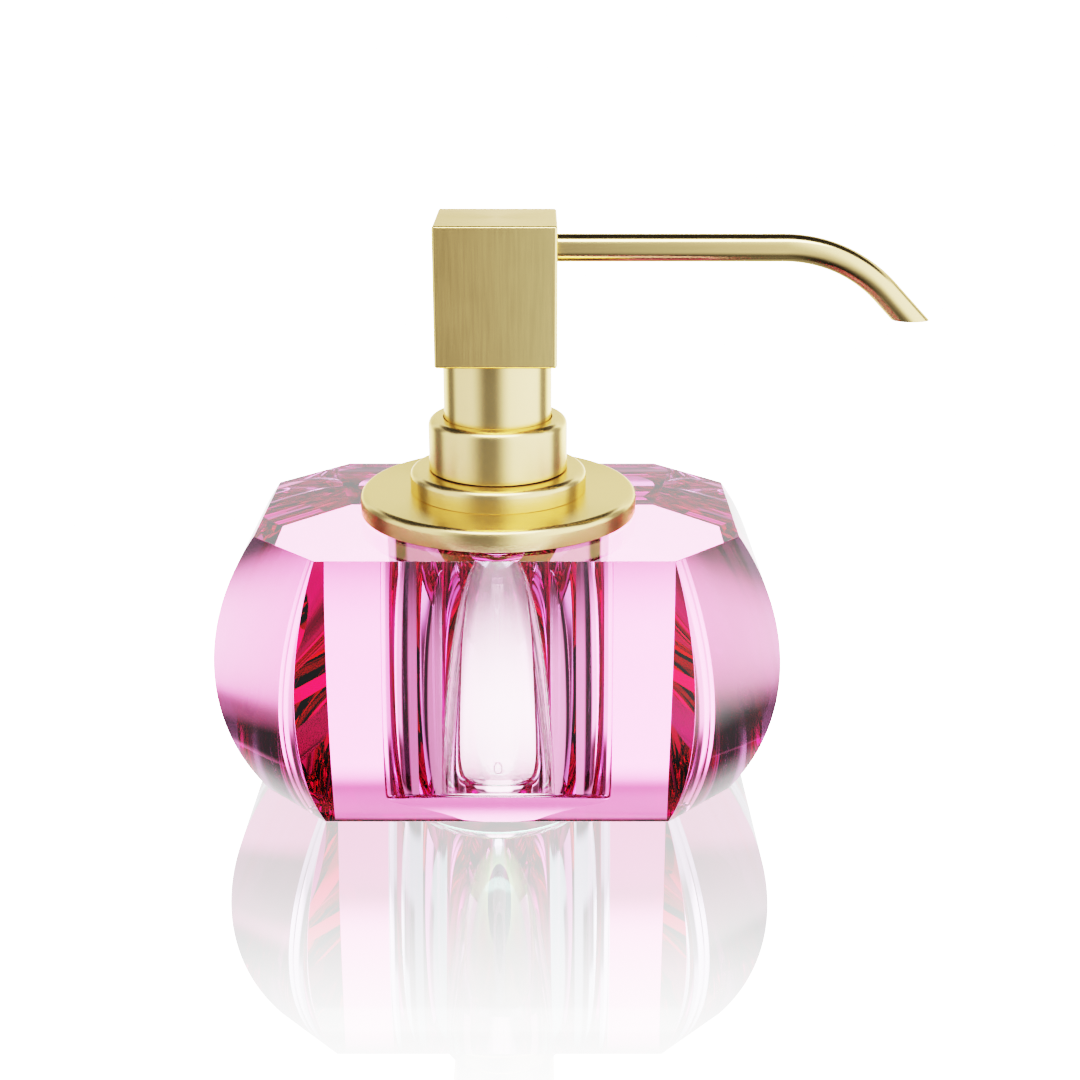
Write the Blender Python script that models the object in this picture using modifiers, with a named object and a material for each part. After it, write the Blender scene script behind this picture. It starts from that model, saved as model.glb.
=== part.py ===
"""Pump dispenser: a faceted glass bottle with a screw-in metal pump, a square head and a long bent spout.

Frame: +Z up, origin at the centre of the bottle's base, spout along +X. Lengths are millimetres times MM.
Run with: blender --background --python part.py
"""

import math

import bmesh
import bpy
from mathutils import Matrix, Vector

MM = 0.001

# Gaps: SEAM where two fixed faces meet in sight, GAP where they meet inside, RUN round a moving fit.
SEAM = 0.15 * MM
GAP = 0.30 * MM
RUN = 0.20 * MM

# Glass bottle: two equal octagons joined by eight facets that bulge as one circular arc.
GLASS_HEIGHT = 59.0 * MM
FRONT_HALF_WIDTH = 36.4 * MM
FRONT_DISTANCE = 34.0 * MM
SIDE_DISTANCE = 50.9 * MM
SIDE_HALF_WIDTH = 19.0 * MM
FACET_BULGE = 9.5 * MM
BULGE_RINGS = 14
BORE_RADIUS = 24.85 * MM
BORE_FLOOR = 8.65 * MM
BORE_FILLET = 1.0 * MM

# Metal neck glued on the glass: a flange and a stepped ring with the female thread.
FLANGE_RADIUS = 30.1 * MM
FLANGE_TOP = 63.9 * MM
FLANGE_EDGE = 1.2 * MM
RING_RADIUS = 19.15 * MM
RING_TOP = 68.6 * MM
RING_EDGE = 1.5 * MM
THREAD_PITCH = 2.0 * MM
THREAD_DEPTH = 0.45 * MM
THREAD_LOW = 62.2 * MM
THREAD_HIGH = 67.6 * MM
FEMALE_ROOT = 14.0 * MM

# Collar: a metal shell pressed on a threaded plastic core.
COLLAR_RADIUS = 15.0 * MM
COLLAR_BOTTOM = 69.0 * MM
COLLAR_TOP = 80.1 * MM
COLLAR_EDGE = 1.8 * MM
COLLAR_WALL = 0.8 * MM
MALE_ROOT = 12.8 * MM

# Head and spout. The head travels STROKE down when pressed.
STROKE = 11.5 * MM
SLEEVE_RADIUS = 11.6 * MM
SLEEVE_WALL = 1.2 * MM
SLEEVE_BOTTOM = 78.0 * MM
HEAD_SIDE = 25.4 * MM
HEAD_BOTTOM = 93.4 * MM
HEAD_TOP = 122.6 * MM
HEAD_EDGE = 0.5 * MM
SPOUT_RADIUS = 2.9 * MM
SPOUT_BORE = 2.2 * MM
SPOUT_HEIGHT = 116.4 * MM
SPOUT_BEND_START = 60.0 * MM
SPOUT_BEND_RADIUS = 30.1 * MM
SPOUT_BEND_ANGLE = math.radians(46.3)
SPOUT_TIP_HEIGHT = 101.0 * MM

# Pump cartridge, held up inside the collar and the sleeve.
BARREL_RADIUS = 7.4 * MM
BARREL_BORE = 6.0 * MM
BARREL_TOP = 90.0 * MM
BARREL_FLOOR = 64.6 * MM
SEAT_RIM_RADIUS = 11.5 * MM
SEAT_RIM_BOTTOM = 63.6 * MM
SEAT_RIM_TOP = 64.8 * MM
NOZZLE_RADIUS = 3.5 * MM
NOZZLE_BOTTOM = 52.9 * MM
STEM_RADIUS = 3.0 * MM
STEM_BORE = 1.6 * MM
STEM_TOP = 108.0 * MM
VALVE_BALL = 1.8 * MM
DIP_RADIUS = 2.0 * MM
DIP_BORE = 1.4 * MM

# Facets round a turned piece.
FINE = 40
MEDIUM = 24
COARSE = 16

CUTTERS = "cutters"
PARTS = "pump_dispenser"


def start_scene():
    """Empties the scene and makes the two collections."""
    for obj in list(bpy.data.objects):
        bpy.data.objects.remove(obj, do_unlink=True)
    for name in (PARTS, CUTTERS):
        collection = bpy.data.collections.new(name)
        bpy.context.scene.collection.children.link(collection)


def material(name, colour, roughness, metallic=0.0, transmission=0.0):
    """A Principled BSDF finish."""
    made = bpy.data.materials.new(name)
    made.use_nodes = True
    shader = made.node_tree.nodes["Principled BSDF"]
    shader.inputs["Base Color"].default_value = (*colour, 1.0)
    shader.inputs["Roughness"].default_value = roughness
    shader.inputs["Metallic"].default_value = metallic
    shader.inputs["Transmission Weight"].default_value = transmission
    made.diffuse_color = (*colour, 1.0)
    return made


def add(name, mesh, finish=None, collection=PARTS):
    """Links a new object; without a finish it is a cutter or a guide."""
    obj = bpy.data.objects.new(name, mesh)
    bpy.data.collections[collection].objects.link(obj)
    if finish:
        mesh.materials.append(finish)
    else:
        obj.hide_render = True
        obj.display_type = "WIRE"
    return obj


def smooth(mesh, angle=math.radians(35)):
    """Smooth shading that keeps real corners sharp."""
    mesh.shade_smooth()
    mesh.set_sharp_from_angle(angle=angle)


def bake(obj):
    """Turns a curve, or a mesh with modifiers, into a plain mesh object of the same name."""
    graph = bpy.context.evaluated_depsgraph_get()
    mesh = bpy.data.meshes.new_from_object(obj.evaluated_get(graph))
    name, home, place = obj.name, obj.users_collection[0], obj.matrix_world.copy()
    if obj.type == "CURVE":
        weld = bmesh.new()
        weld.from_mesh(mesh)
        bmesh.ops.remove_doubles(weld, verts=weld.verts, dist=0.00001)
        weld.to_mesh(mesh)
        weld.free()
    bpy.data.objects.remove(obj, do_unlink=True)
    made = bpy.data.objects.new(name, mesh)
    made.matrix_world = place
    home.objects.link(made)
    bpy.context.view_layer.update()
    return made


def arc(centre_r, centre_z, radius, start, end, steps=3):
    """Points of a round corner in a profile, angles in degrees from +R towards +Z."""
    points = []
    for i in range(steps + 1):
        angle = math.radians(start + (end - start) * i / steps)
        points.append((centre_r + radius * math.cos(angle), centre_z + radius * math.sin(angle)))
    return points


def turned(name, profile, finish=None, facets=MEDIUM, closed=True, collection=PARTS):
    """A Screw of a profile of (radius, height) points, down the outer side first.

    A closed profile is a ring; an open one starts and ends on the axis.
    """
    mesh = bpy.data.meshes.new(name)
    count = len(profile)
    edges = [(i, i + 1) for i in range(count - 1)]
    if closed:
        edges.append((count - 1, 0))
    mesh.from_pydata([(r, 0.0, z) for r, z in profile], edges, [])
    obj = add(name, mesh, finish, collection)
    screw = obj.modifiers.new("turn", "SCREW")
    screw.steps = facets
    screw.render_steps = facets
    screw.use_merge_vertices = True
    screw.merge_threshold = 0.00001
    screw.use_smooth_shade = False
    return obj


def finish_turned(obj):
    """Bakes a turned piece and shades it smooth."""
    obj = bake(obj)
    smooth(obj.data)
    return obj


def cut(obj, *cutters):
    """Takes the cutters away from obj with exact Booleans."""
    for cutter in cutters:
        boolean = obj.modifiers.new("cut_" + cutter.name, "BOOLEAN")
        boolean.operation = "DIFFERENCE"
        boolean.object = cutter
    bpy.context.view_layer.update()
    return bake(obj)


def rod(name, radius, start, end, facets=MEDIUM):
    """A cylinder cutter between two points."""
    start, end = Vector(start), Vector(end)
    mesh = bpy.data.meshes.new(name)
    build = bmesh.new()
    bmesh.ops.create_cone(
        build,
        cap_ends=True,
        segments=facets,
        radius1=radius,
        radius2=radius,
        depth=(end - start).length,
    )
    turn = (end - start).to_track_quat("Z", "Y").to_matrix().to_4x4()
    build.transform(Matrix.Translation((start + end) / 2) @ turn)
    build.to_mesh(mesh)
    build.free()
    return add(name, mesh, collection=CUTTERS)


def torus(name, ring_radius, cord_radius, finish, facets=COARSE, around=6):
    """An O-ring about +Z at the origin."""
    profile = []
    for i in range(around):
        angle = math.radians(90) - 2 * math.pi * i / around
        profile.append((ring_radius + cord_radius * math.cos(angle), cord_radius * math.sin(angle)))
    return finish_turned(turned(name, profile, finish, facets))


def ball(name, radius, height, finish):
    """A valve ball with its origin at its own centre on the axis."""
    mesh = bpy.data.meshes.new(name)
    build = bmesh.new()
    bmesh.ops.create_uvsphere(build, u_segments=12, v_segments=8, radius=radius)
    build.to_mesh(mesh)
    build.free()
    obj = add(name, mesh, finish)
    obj.location = (0.0, 0.0, height)
    smooth(mesh)
    return obj


def thread(obj, root, depth, low, high):
    """Raises a helical ridge on the wall at the root radius; a negative depth points inwards."""
    for vertex in obj.data.vertices:
        x, y, z = vertex.co
        radius = math.hypot(x, y)
        if abs(radius - root) > 0.00001 or not low < z < high:
            continue
        turn = (z / THREAD_PITCH - math.atan2(y, x) / (2 * math.pi)) % 1.0
        ridge = 1.0 - abs(2.0 * turn - 1.0)
        fade = min(1.0, (z - low) / THREAD_PITCH, (high - z) / THREAD_PITCH)
        scale = (radius + depth * ridge * fade) / radius
        vertex.co = (x * scale, y * scale, z)


def thread_levels(low, high):
    """Heights, four rows a pitch, from high down to low."""
    rows = round((high - low) / (THREAD_PITCH / 4))
    return [high - (high - low) * i / rows for i in range(rows + 1)]


# ---------------------------------------------------------------- bottle


def bulge_at(z):
    """How far a facet stands out at a height: an arc through both octagons."""
    half = GLASS_HEIGHT / 2
    radius = (half * half + FACET_BULGE * FACET_BULGE) / (2 * FACET_BULGE)
    return math.sqrt(radius * radius - (z - half) ** 2) - (radius - FACET_BULGE)


def octagon_corners(offset):
    """The octagon's corners in the +X +Y quarter with every side moved out by offset: front, side."""
    across = SIDE_DISTANCE - FRONT_HALF_WIDTH
    along = FRONT_DISTANCE - SIDE_HALF_WIDTH
    length = math.hypot(across, along)
    normal_x, normal_y = along / length, across / length
    distance = normal_x * FRONT_HALF_WIDTH + normal_y * FRONT_DISTANCE + offset
    front_y = FRONT_DISTANCE + offset
    side_x = SIDE_DISTANCE + offset
    front = ((distance - normal_y * front_y) / normal_x, front_y)
    side = (side_x, (distance - normal_x * side_x) / normal_y)
    return front, side


def make_glass(finish):
    """An eight-sided cylinder with loop cuts, each row moved to its octagon, and a round bore."""
    mesh = bpy.data.meshes.new("glass_body")
    build = bmesh.new()
    bmesh.ops.create_cone(build, cap_ends=True, segments=8, radius1=1, radius2=1, depth=2)
    upright = [e for e in build.edges if abs(e.verts[0].co.z - e.verts[1].co.z) > 1]
    bmesh.ops.subdivide_edges(build, edges=upright, cuts=BULGE_RINGS, use_grid_fill=True)
    spin = math.pi / 8
    for vertex in build.verts:
        height = (vertex.co.z + 1) / 2 * GLASS_HEIGHT
        angle = math.atan2(vertex.co.y, vertex.co.x) + spin
        front, side = octagon_corners(bulge_at(height))
        x, y = front if abs(math.sin(angle)) > math.sin(math.pi / 4) else side
        vertex.co = (math.copysign(x, math.cos(angle)), math.copysign(y, math.sin(angle)), height)
    build.to_mesh(mesh)
    build.free()
    body = add("glass_body", mesh, finish)
    over = GLASS_HEIGHT + 5 * MM
    outline = [(0.0, over), (BORE_RADIUS, over)]
    outline += arc(BORE_RADIUS - BORE_FILLET, BORE_FLOOR + BORE_FILLET, BORE_FILLET, 0, -90, 3)
    outline += [(0.0, BORE_FLOOR)]
    cutter = bake(turned("bore_cutter", outline, facets=64, closed=False, collection=CUTTERS))
    cutter.hide_render = True
    cutter.display_type = "WIRE"
    body = cut(body, cutter)
    smooth(body.data, math.radians(20))
    return body


def make_gasket(name, inner, outer, bottom, top, finish):
    """A flat sealing ring."""
    profile = [(inner, top), (outer, top), (outer, bottom), (inner, bottom)]
    return finish_turned(turned(name, profile, finish))


LEDGE_TOP = 60.5 * MM
COUNTERBORE = 15.9 * MM
LEDGE_HOLE = 9.0 * MM
FLANGE_BOTTOM = GLASS_HEIGHT + GAP
RECESS_INNER = 26.2 * MM
RECESS_OUTER = 29.0 * MM
RECESS_TOP = 60.6 * MM
FLANGE_GASKET_INNER = 26.5 * MM
FLANGE_GASKET_OUTER = 28.7 * MM
FLANGE_GASKET_THICKNESS = 1.0 * MM


def make_flange(finish):
    """The wide disc: rounded rim, gasket recess below, ledge and counterbore in the middle."""
    profile = arc(FLANGE_RADIUS - FLANGE_EDGE, FLANGE_TOP - FLANGE_EDGE, FLANGE_EDGE, 90, 0)
    profile += [
        (FLANGE_RADIUS, FLANGE_BOTTOM),
        (RECESS_OUTER, FLANGE_BOTTOM),
        (RECESS_OUTER, RECESS_TOP),
        (RECESS_INNER, RECESS_TOP),
        (RECESS_INNER, FLANGE_BOTTOM),
        (LEDGE_HOLE, FLANGE_BOTTOM),
        (LEDGE_HOLE, LEDGE_TOP),
        (COUNTERBORE, LEDGE_TOP),
        (COUNTERBORE, FLANGE_TOP),
    ]
    return finish_turned(turned("neck_flange", profile, finish, FINE))


def make_ring(finish):
    """The stepped ring, spigoted into the flange, with the female thread in its bore."""
    low = LEDGE_TOP + GAP
    profile = arc(RING_RADIUS - RING_EDGE, RING_TOP - RING_EDGE, RING_EDGE, 90, 0)
    profile += [
        (RING_RADIUS, FLANGE_TOP + SEAM),
        (COUNTERBORE - GAP, FLANGE_TOP + SEAM),
        (COUNTERBORE - GAP, low),
    ]
    profile += [(FEMALE_ROOT, low)]
    profile += [(FEMALE_ROOT, z) for z in reversed(thread_levels(THREAD_LOW, THREAD_HIGH))]
    profile += [(FEMALE_ROOT + RING_TOP - THREAD_HIGH, RING_TOP)]
    ring = bake(turned("neck_ring", profile, finish, FINE))
    thread(ring, FEMALE_ROOT, -THREAD_DEPTH, THREAD_LOW, THREAD_HIGH)
    smooth(ring.data)
    return ring


# ---------------------------------------------------------------- collar


CORE_BOTTOM = 61.9 * MM
CORE_TOP = 78.2 * MM
CORE_BORE = SLEEVE_RADIUS + 0.35 * MM
CORE_LEDGE = 63.3 * MM
CLOSURE_GASKET_INNER = 9.6 * MM
CLOSURE_GASKET_OUTER = 12.9 * MM
NECK_RADIUS = 4.6 * MM


def make_collar_shell(finish):
    """The polished cap of the collar, open below, with a round hole for the sleeve."""
    inner = COLLAR_RADIUS - COLLAR_WALL
    hole = SLEEVE_RADIUS + SEAM
    under = CORE_TOP + GAP
    profile = arc(COLLAR_RADIUS - COLLAR_EDGE, COLLAR_TOP - COLLAR_EDGE, COLLAR_EDGE, 90, 0)
    profile += [
        (COLLAR_RADIUS, COLLAR_BOTTOM),
        (inner, COLLAR_BOTTOM),
        (inner, under),
        (hole, under),
        (hole, COLLAR_TOP),
    ]
    return finish_turned(turned("collar_shell", profile, finish, FINE))


def make_collar_core(finish):
    """The plastic closure: male thread below, bore for the sleeve, ledge that carries the pump."""
    outer = COLLAR_RADIUS - COLLAR_WALL - GAP
    shoulder = COLLAR_BOTTOM + SEAM
    profile = [(outer, CORE_TOP), (outer, shoulder), (MALE_ROOT, shoulder)]
    profile += [(MALE_ROOT, z) for z in thread_levels(THREAD_LOW, THREAD_HIGH)]
    profile += [
        (MALE_ROOT - 0.3 * MM, CORE_BOTTOM),
        (NECK_RADIUS + GAP, CORE_BOTTOM),
        (NECK_RADIUS + GAP, CORE_LEDGE),
        (CORE_BORE, CORE_LEDGE),
        (CORE_BORE, CORE_TOP),
    ]
    core = bake(turned("collar_core", profile, finish, FINE))
    thread(core, MALE_ROOT, THREAD_DEPTH, THREAD_LOW, THREAD_HIGH)
    smooth(core.data)
    return core


# ---------------------------------------------------------------- pump cartridge


CHAMBER_RADIUS = 2.6 * MM
CONE_TOP = 60.4 * MM
INLET_HOLE = 1.1 * MM
SOCKET_TOP = 57.9 * MM
CLAMP_INNER = BARREL_RADIUS + 0.4 * MM
CLAMP_BOTTOM = SEAT_RIM_TOP + GAP
CLAMP_TOP = CLAMP_BOTTOM + 0.8 * MM
DIP_BOTTOM = BORE_FLOOR + 2.2 * MM


def make_housing(finish):
    """Barrel, clamping rim, inlet valve chamber and dip tube socket, turned in one."""
    cone_bottom = CONE_TOP - (CHAMBER_RADIUS - INLET_HOLE)
    socket = DIP_RADIUS + RUN
    profile = [
        (BARREL_RADIUS, BARREL_TOP),
        (BARREL_RADIUS, SEAT_RIM_TOP),
        (SEAT_RIM_RADIUS, SEAT_RIM_TOP),
        (SEAT_RIM_RADIUS, SEAT_RIM_BOTTOM),
        (NECK_RADIUS, SEAT_RIM_BOTTOM),
        (NECK_RADIUS, CONE_TOP - 2 * MM),
        (NOZZLE_RADIUS, CONE_TOP - 3.2 * MM),
        (NOZZLE_RADIUS, NOZZLE_BOTTOM),
        (socket, NOZZLE_BOTTOM),
        (socket, SOCKET_TOP),
        (INLET_HOLE, SOCKET_TOP),
        (INLET_HOLE, cone_bottom),
        (CHAMBER_RADIUS, CONE_TOP),
        (CHAMBER_RADIUS, BARREL_FLOOR),
        (BARREL_BORE, BARREL_FLOOR),
        (BARREL_BORE, BARREL_TOP),
    ]
    return finish_turned(turned("pump_housing", profile, finish))


GUIDE_TOP = 92.2 * MM
PLUG_BOTTOM = 88.7 * MM


def make_stem_guide(finish):
    """Cap of the barrel, plugged into its bore, that guides the stem."""
    hole = STEM_RADIUS + 0.3 * MM
    under = BARREL_TOP + SEAM
    profile = [
        (BARREL_RADIUS - 0.6 * MM, GUIDE_TOP),
        (BARREL_RADIUS, GUIDE_TOP - 0.6 * MM),
        (BARREL_RADIUS, under),
        (BARREL_BORE - RUN, under),
        (BARREL_BORE - RUN, PLUG_BOTTOM),
        (hole, PLUG_BOTTOM),
        (hole, GUIDE_TOP),
    ]
    return finish_turned(turned("stem_guide", profile, finish))


SEAT_DISC_BOTTOM = BARREL_FLOOR + GAP
SEAT_DISC_TOP = SEAT_DISC_BOTTOM + 0.9 * MM


def make_spring_seat(finish):
    """Perforated disc that carries the spring and keeps the inlet ball in its chamber."""
    profile = [
        (0.0, SEAT_DISC_TOP),
        (BARREL_BORE - GAP, SEAT_DISC_TOP),
        (BARREL_BORE - GAP, SEAT_DISC_BOTTOM),
        (0.0, SEAT_DISC_BOTTOM),
    ]
    disc = bake(turned("spring_seat", profile, finish, closed=False))
    holes = []
    for i in range(4):
        angle = math.pi / 4 + i * math.pi / 2
        x, y = 2.2 * MM * math.cos(angle), 2.2 * MM * math.sin(angle)
        low, high = SEAT_DISC_BOTTOM - MM, SEAT_DISC_TOP + MM
        holes.append(rod(f"seat_hole_{i}", 0.9 * MM, (x, y, low), (x, y, high), 10))
    disc = cut(disc, *holes)
    smooth(disc.data)
    return disc


PISTON_BOTTOM = 82.9 * MM
PISTON_TOP = 87.6 * MM
SPRING_RADIUS = 4.5 * MM
SPRING_WIRE = 0.35 * MM
SPRING_TURNS = 6
SPRING_STEPS = 12
SPRING_COIL_GAP = 0.8 * MM
SPRING_END_TURN = 0.75


def spring_height(turn, low, high):
    """Height of the wire's centre: the first and last turn lie flat, and the rest climb evenly."""
    share = (turn - SPRING_END_TURN) / (SPRING_TURNS - 2 * SPRING_END_TURN)
    return low + (high - low) * min(1.0, max(0.0, share))


def make_spring(finish):
    """A compression spring with closed ends between the seat disc and the piston."""
    low = SEAT_DISC_TOP + GAP + SPRING_WIRE
    high = PISTON_BOTTOM - GAP - SPRING_WIRE
    curve = bpy.data.curves.new("return_spring", "CURVE")
    curve.dimensions = "3D"
    curve.bevel_depth = SPRING_WIRE
    curve.bevel_resolution = 1
    curve.use_fill_caps = True
    line = curve.splines.new("POLY")
    count = SPRING_TURNS * SPRING_STEPS + 1
    line.points.add(count - 1)
    for i in range(count):
        turn = i / SPRING_STEPS
        climb = spring_height(turn, low + SPRING_COIL_GAP, high - SPRING_COIL_GAP)
        climb -= SPRING_COIL_GAP * max(0.0, 1.0 - turn / SPRING_END_TURN)
        climb += SPRING_COIL_GAP * max(0.0, 1.0 - (SPRING_TURNS - turn) / SPRING_END_TURN)
        angle = 2 * math.pi * turn
        x, y = SPRING_RADIUS * math.cos(angle), SPRING_RADIUS * math.sin(angle)
        line.points[i].co = (x, y, climb, 1.0)
    obj = bpy.data.objects.new("return_spring", curve)
    bpy.data.collections[PARTS].objects.link(obj)
    bpy.context.view_layer.update()
    spring = bake(obj)
    spring.data.materials.append(finish)
    smooth(spring.data, math.radians(60))
    return spring


def make_tube(name, inner, outer, bottom, top, finish, facets=COARSE):
    """A straight pipe on the axis."""
    profile = [(outer, top), (outer, bottom), (inner, bottom), (inner, top)]
    return finish_turned(turned(name, profile, finish, facets))


def make_piston(finish):
    """The sliding seal: two wiper lips, a socket for the stem and a hole to feed it."""
    outer = BARREL_BORE - RUN
    waist = outer - 0.9 * MM
    socket = STEM_RADIUS + RUN
    profile = [
        (outer, PISTON_TOP),
        (outer, PISTON_TOP - 0.8 * MM),
        (waist, PISTON_TOP - 1.6 * MM),
        (waist, PISTON_BOTTOM + 1.6 * MM),
        (outer, PISTON_BOTTOM + 0.8 * MM),
        (outer, PISTON_BOTTOM),
        (STEM_BORE, PISTON_BOTTOM),
        (STEM_BORE, PISTON_BOTTOM + 1.5 * MM),
        (socket, PISTON_BOTTOM + 1.5 * MM),
        (socket, PISTON_TOP),
    ]
    return finish_turned(turned("piston", profile, finish))


# ---------------------------------------------------------------- head and spout


SLEEVE_SEAT = HEAD_BOTTOM + 3.0 * MM
RECESS_RADIUS = 9.3 * MM
HEAD_RECESS_TOP = 121.0 * MM
INSERT_RADIUS = RECESS_RADIUS - GAP
INSERT_BOTTOM = GUIDE_TOP + STROKE + 0.6 * MM
INSERT_TOP = HEAD_RECESS_TOP - GAP
SPOUT_INNER_END = 3.0 * MM
SPOUT_CUT_END = 25.0 * MM
STEM_CORD = 0.55 * MM
SPOUT_CORD = 0.4 * MM
SPOUT_SEAL_X = INSERT_RADIUS - 1.4 * MM


def make_head(finish):
    """The square block with small chamfers, bored from below and through its +X face."""
    mesh = bpy.data.meshes.new("head_shell")
    build = bmesh.new()
    bmesh.ops.create_cube(build, size=1)
    size = Matrix.Diagonal((HEAD_SIDE, HEAD_SIDE, HEAD_TOP - HEAD_BOTTOM, 1))
    build.transform(Matrix.Translation((0, 0, (HEAD_TOP + HEAD_BOTTOM) / 2)) @ size)
    build.to_mesh(mesh)
    build.free()
    head = add("head_shell", mesh, finish)
    bevel = head.modifiers.new("edges", "BEVEL")
    bevel.width = HEAD_EDGE
    bevel.segments = 2
    below = HEAD_BOTTOM - MM
    head = cut(
        head,
        rod("head_seat", SLEEVE_RADIUS + GAP, (0, 0, below), (0, 0, SLEEVE_SEAT)),
        rod("head_recess", RECESS_RADIUS, (0, 0, below), (0, 0, HEAD_RECESS_TOP)),
        rod(
            "head_spout_hole",
            SPOUT_RADIUS + SEAM,
            (RECESS_RADIUS - 2 * MM, 0, SPOUT_HEIGHT),
            (HEAD_SIDE, 0, SPOUT_HEIGHT),
            COARSE,
        ),
    )
    smooth(head.data)
    return head


def make_insert(finish):
    """The plastic core of the head: stem socket, outlet valve chamber and the way to the spout."""
    socket = STEM_RADIUS + RUN
    seal = STEM_RADIUS + 2 * STEM_CORD + 0.35 * MM
    seal_top = INSERT_BOTTOM + 2 * STEM_CORD + 0.3 * MM
    chamber_top = STEM_TOP + 4.4 * MM
    channel = 1.3 * MM
    profile = [
        (0.0, INSERT_TOP),
        (INSERT_RADIUS, INSERT_TOP),
        (INSERT_RADIUS, INSERT_BOTTOM),
        (seal, INSERT_BOTTOM),
        (seal, seal_top),
        (socket, seal_top),
        (socket, STEM_TOP + GAP),
        (CHAMBER_RADIUS, STEM_TOP + GAP),
        (CHAMBER_RADIUS, chamber_top),
        (channel, chamber_top + CHAMBER_RADIUS - channel),
        (channel, SPOUT_HEIGHT),
        (0.0, SPOUT_HEIGHT),
    ]
    insert = bake(turned("head_insert", profile, finish, closed=False))
    bores = (
        ("spout_way", channel, -0.9 * MM, 12),
        ("spout_socket", SPOUT_RADIUS + RUN, SPOUT_INNER_END - GAP, COARSE),
        ("spout_seal_seat", SPOUT_RADIUS + 2 * SPOUT_CORD + 0.25 * MM, SPOUT_SEAL_X - SPOUT_CORD - RUN, COARSE),
    )
    cutters = []
    for name, radius, start, facets in bores:
        cutters.append(rod(name, radius, (start, 0, SPOUT_HEIGHT), (SPOUT_CUT_END, 0, SPOUT_HEIGHT), facets))
    insert = cut(insert, *cutters)
    smooth(insert.data)
    return insert


def make_stem_seal(finish):
    """O-ring round the stem, in the insert's counterbore."""
    seal = torus("stem_seal", STEM_RADIUS + STEM_CORD + 0.15 * MM, STEM_CORD, finish)
    seal.location = (0, 0, INSERT_BOTTOM + STEM_CORD + 0.15 * MM)
    return seal


def make_spout_seal(finish):
    """O-ring round the spout's inner end."""
    seal = torus("spout_seal", SPOUT_RADIUS + SPOUT_CORD + 0.12 * MM, SPOUT_CORD, finish)
    seal.rotation_euler = (0, math.pi / 2, 0)
    seal.location = (SPOUT_SEAL_X, 0, SPOUT_HEIGHT)
    return seal


def spout_line(start, tail, bend_steps):
    """Centre points of the spout: straight, one round bend, then straight down to the tip."""
    points = [(start, SPOUT_HEIGHT)]
    for i in range(bend_steps + 1):
        angle = SPOUT_BEND_ANGLE * i / bend_steps
        x = SPOUT_BEND_START + SPOUT_BEND_RADIUS * math.sin(angle)
        z = SPOUT_HEIGHT - SPOUT_BEND_RADIUS * (1 - math.cos(angle))
        points.append((x, z))
    end_x, end_z = points[-1]
    reach = (end_z - SPOUT_TIP_HEIGHT) / math.sin(SPOUT_BEND_ANGLE) + tail
    x = end_x + reach * math.cos(SPOUT_BEND_ANGLE)
    z = end_z - reach * math.sin(SPOUT_BEND_ANGLE)
    points.append((x, z))
    return points


def bent_rod(name, radius, start, tail, bend_steps, resolution, finish=None, collection=PARTS):
    """A filled round rod along the spout's centre line, baked to a mesh."""
    curve = bpy.data.curves.new(name, "CURVE")
    curve.dimensions = "3D"
    curve.bevel_depth = radius
    curve.bevel_resolution = resolution
    curve.use_fill_caps = True
    path = spout_line(start, tail, bend_steps)
    line = curve.splines.new("POLY")
    line.points.add(len(path) - 1)
    for point, (x, z) in zip(line.points, path):
        point.co = (x, 0.0, z, 1.0)
    obj = bpy.data.objects.new(name, curve)
    bpy.data.collections[collection].objects.link(obj)
    bpy.context.view_layer.update()
    made = bake(obj)
    if finish:
        made.data.materials.append(finish)
    else:
        made.hide_render = True
        made.display_type = "WIRE"
    return made


def block(name, low, high):
    """A box cutter between two corners."""
    low, high = Vector(low), Vector(high)
    mesh = bpy.data.meshes.new(name)
    build = bmesh.new()
    bmesh.ops.create_cube(build, size=1)
    build.transform(Matrix.Translation((low + high) / 2) @ Matrix.Diagonal((*(high - low), 1)))
    build.to_mesh(mesh)
    build.free()
    return add(name, mesh, collection=CUTTERS)


def make_spout(finish):
    """The long metal tube, hollow, with its tip cut level."""
    tail = 8 * MM
    spout = bent_rod("spout_tube", SPOUT_RADIUS, SPOUT_INNER_END, tail, 10, 3, finish)
    bore = bent_rod("spout_bore", SPOUT_BORE, 0.0, 2 * tail, 10, 3, collection=CUTTERS)
    near = SPOUT_BEND_START + 2 * tail
    width = 3 * SPOUT_RADIUS
    below = block(
        "tip_cut",
        (near, -width, SPOUT_TIP_HEIGHT - 2 * tail),
        (near + SPOUT_BEND_START, width, SPOUT_TIP_HEIGHT),
    )
    spout = cut(spout, below, bore)
    smooth(spout.data, math.radians(40))
    return spout


def make_liner(finish):
    """The soft inner tube that carries the soap through the spout."""
    outer = SPOUT_BORE - 0.35 * MM
    liner = bent_rod("spout_liner", outer, SPOUT_INNER_END, -1.5 * MM, 8, 1, finish)
    bore = bent_rod("liner_bore", outer - 0.5 * MM, 0.0, 5 * MM, 8, 1, collection=CUTTERS)
    liner = cut(liner, bore)
    smooth(liner.data, math.radians(60))
    return liner


# ---------------------------------------------------------------- assembly


def axis_empty(name, children, height):
    """An empty on the pump's axis that carries one moving group."""
    empty = bpy.data.objects.new(name, None)
    empty.empty_display_size = 5 * MM
    empty.location = (0, 0, height)
    bpy.data.collections[PARTS].objects.link(empty)
    bpy.context.view_layer.update()
    for child in children:
        place = child.matrix_world.copy()
        child.parent = empty
        child.matrix_parent_inverse = empty.matrix_world.inverted()
        child.matrix_world = place
    return empty


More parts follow.
